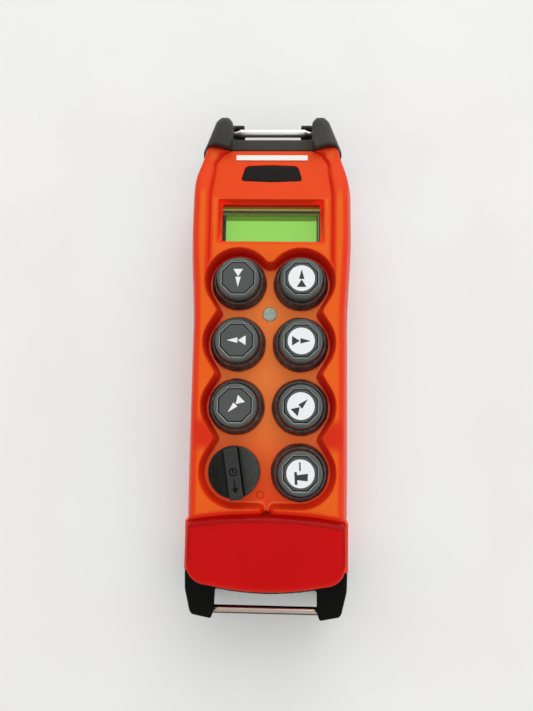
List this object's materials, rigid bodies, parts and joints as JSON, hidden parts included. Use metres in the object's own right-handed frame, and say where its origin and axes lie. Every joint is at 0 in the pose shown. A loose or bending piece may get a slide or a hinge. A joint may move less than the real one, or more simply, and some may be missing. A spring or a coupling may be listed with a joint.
{
  "type": "pendant control station",
  "caption": "Hand-held radio pendant control station: paired push buttons, rotary switch, display and stop bar, between two bumpers with strap rods.",
  "frame": {"origin": "middle of the rectangle that the object covers, on the plane that its back rests on", "axes": "+Z out of the face with the buttons, +Y along the body towards the display end, +X to the right of a reader facing the buttons"},
  "size_m": [0.077, 0.2254, 0.0424],
  "materials": {
    "orange_shell": "semi-gloss moulded orange plastic with a fine even texture",
    "red_shell": "glossy moulded red plastic",
    "black_bumper": "warm black textured hard rubber-like plastic",
    "black_rubber": "dull black moulded rubber",
    "grey_cap": "dark grey satin plastic, shiny where the octagonal edge is bevelled",
    "black_legend": "dark satin plate with a printed white arrow",
    "white_legend": "white printed disc with a dark symbol",
    "black_fitting": "plain black moulded plastic",
    "black_knob": "black satin plastic with shallow engraved marks",
    "black_battery": "black textured plastic",
    "clear_window": "clear hard-coated plastic window",
    "display_green": "back-lit green display",
    "dark_window": "dark glossy plastic",
    "white_label": "white label, left blank",
    "lamp_body": "white lamp",
    "circuit_board": "green lacquered circuit board",
    "polished_rod": "ground and polished stainless steel rod",
    "plain_steel": "bright zinc-plated or spring steel",
    "contact_brass": "plated contact strip"
  },
  "bodies": {
    "body": {"antenna": "black_fitting", "battery_contacts": "contact_brass", "battery_pack": "black_battery", "button_boot_1": "black_rubber", "button_boot_2": "black_rubber", "button_boot_3": "black_rubber", "button_boot_4": "black_rubber", "button_boot_5": "black_rubber", "button_boot_6": "black_rubber", "button_boot_7": "black_rubber", "button_switch_1": "black_fitting", "button_switch_2": "black_fitting", "button_switch_3": "black_fitting", "button_switch_4": "black_fitting", "button_switch_5": "black_fitting", "button_switch_6": "black_fitting", "button_switch_7": "black_fitting", "buzzer": "black_fitting", "display_frame": "black_fitting", "display_module": "display_green", "display_window": "clear_window", "front_housing": "orange_shell", "head_bumper": "black_bumper", "head_rod": "polished_rod", "housing_gasket": "black_rubber", "housing_screw_1": "plain_steel", "housing_screw_2": "plain_steel", "housing_screw_3": "plain_steel", "housing_screw_4": "plain_steel", "infrared_window": "dark_window", "label_plate": "white_label", "lamp_lens": "clear_window", "main_board": "circuit_board", "radio_module": "plain_steel", "rear_housing": "orange_shell", "rotary_switch": "black_fitting", "status_lamp": "lamp_body", "stop_bar_housing": "orange_shell", "stop_spring_left": "plain_steel", "stop_spring_right": "plain_steel", "stop_switch": "black_fitting", "tail_bumper": "black_bumper", "tail_rod": "polished_rod"},
    "push_button_1": {"button_cap_1": "grey_cap", "button_legend_1": "black_legend"},
    "push_button_2": {"button_cap_2": "grey_cap", "button_legend_2": "white_legend"},
    "push_button_3": {"button_cap_3": "grey_cap", "button_legend_3": "black_legend"},
    "push_button_4": {"button_cap_4": "grey_cap", "button_legend_4": "white_legend"},
    "push_button_5": {"button_cap_5": "grey_cap", "button_legend_5": "black_legend"},
    "push_button_6": {"button_cap_6": "grey_cap", "button_legend_6": "white_legend"},
    "push_button_7": {"button_cap_7": "grey_cap", "button_legend_7": "white_legend"},
    "stop_bar": {"stop_bar": "red_shell"},
    "rotary_knob": {"rotary_knob": "black_knob"},
    "battery_latch": {"battery_latch": "black_battery"}
  },
  "joints": [
    {"name": "push_button_1_press", "type": "slide", "parent": "body", "child": "push_button_1", "axis": [0, 0, -1], "range_m": [0, 0.004], "stiffness_N_per_m": 500, "springref_m": -0.003},
    {"name": "push_button_2_press", "type": "slide", "parent": "body", "child": "push_button_2", "axis": [0, 0, -1], "range_m": [0, 0.004], "stiffness_N_per_m": 500, "springref_m": -0.003},
    {"name": "push_button_3_press", "type": "slide", "parent": "body", "child": "push_button_3", "axis": [0, 0, -1], "range_m": [0, 0.004], "stiffness_N_per_m": 500, "springref_m": -0.003},
    {"name": "push_button_4_press", "type": "slide", "parent": "body", "child": "push_button_4", "axis": [0, 0, -1], "range_m": [0, 0.004], "stiffness_N_per_m": 500, "springref_m": -0.003},
    {"name": "push_button_5_press", "type": "slide", "parent": "body", "child": "push_button_5", "axis": [0, 0, -1], "range_m": [0, 0.004], "stiffness_N_per_m": 500, "springref_m": -0.003},
    {"name": "push_button_6_press", "type": "slide", "parent": "body", "child": "push_button_6", "axis": [0, 0, -1], "range_m": [0, 0.004], "stiffness_N_per_m": 500, "springref_m": -0.003},
    {"name": "push_button_7_press", "type": "slide", "parent": "body", "child": "push_button_7", "axis": [0, 0, -1], "range_m": [0, 0.004], "stiffness_N_per_m": 500, "springref_m": -0.003},
    {"name": "stop_bar_press", "type": "slide", "parent": "body", "child": "stop_bar", "axis": [0, 0, -1], "range_m": [0, 0.004]},
    {"name": "rotary_knob_turn", "type": "hinge", "parent": "body", "child": "rotary_knob", "pos_m": [-0.014, -0.0523, 0.036], "axis": [0, 0, 1], "range_deg": [-45, 42]},
    {"name": "battery_latch_slide", "type": "slide", "parent": "body", "child": "battery_latch", "axis": [0, 1, 0], "range_m": [0, 0.003], "stiffness_N_per_m": 400, "springref_m": -0.003}
  ]
}
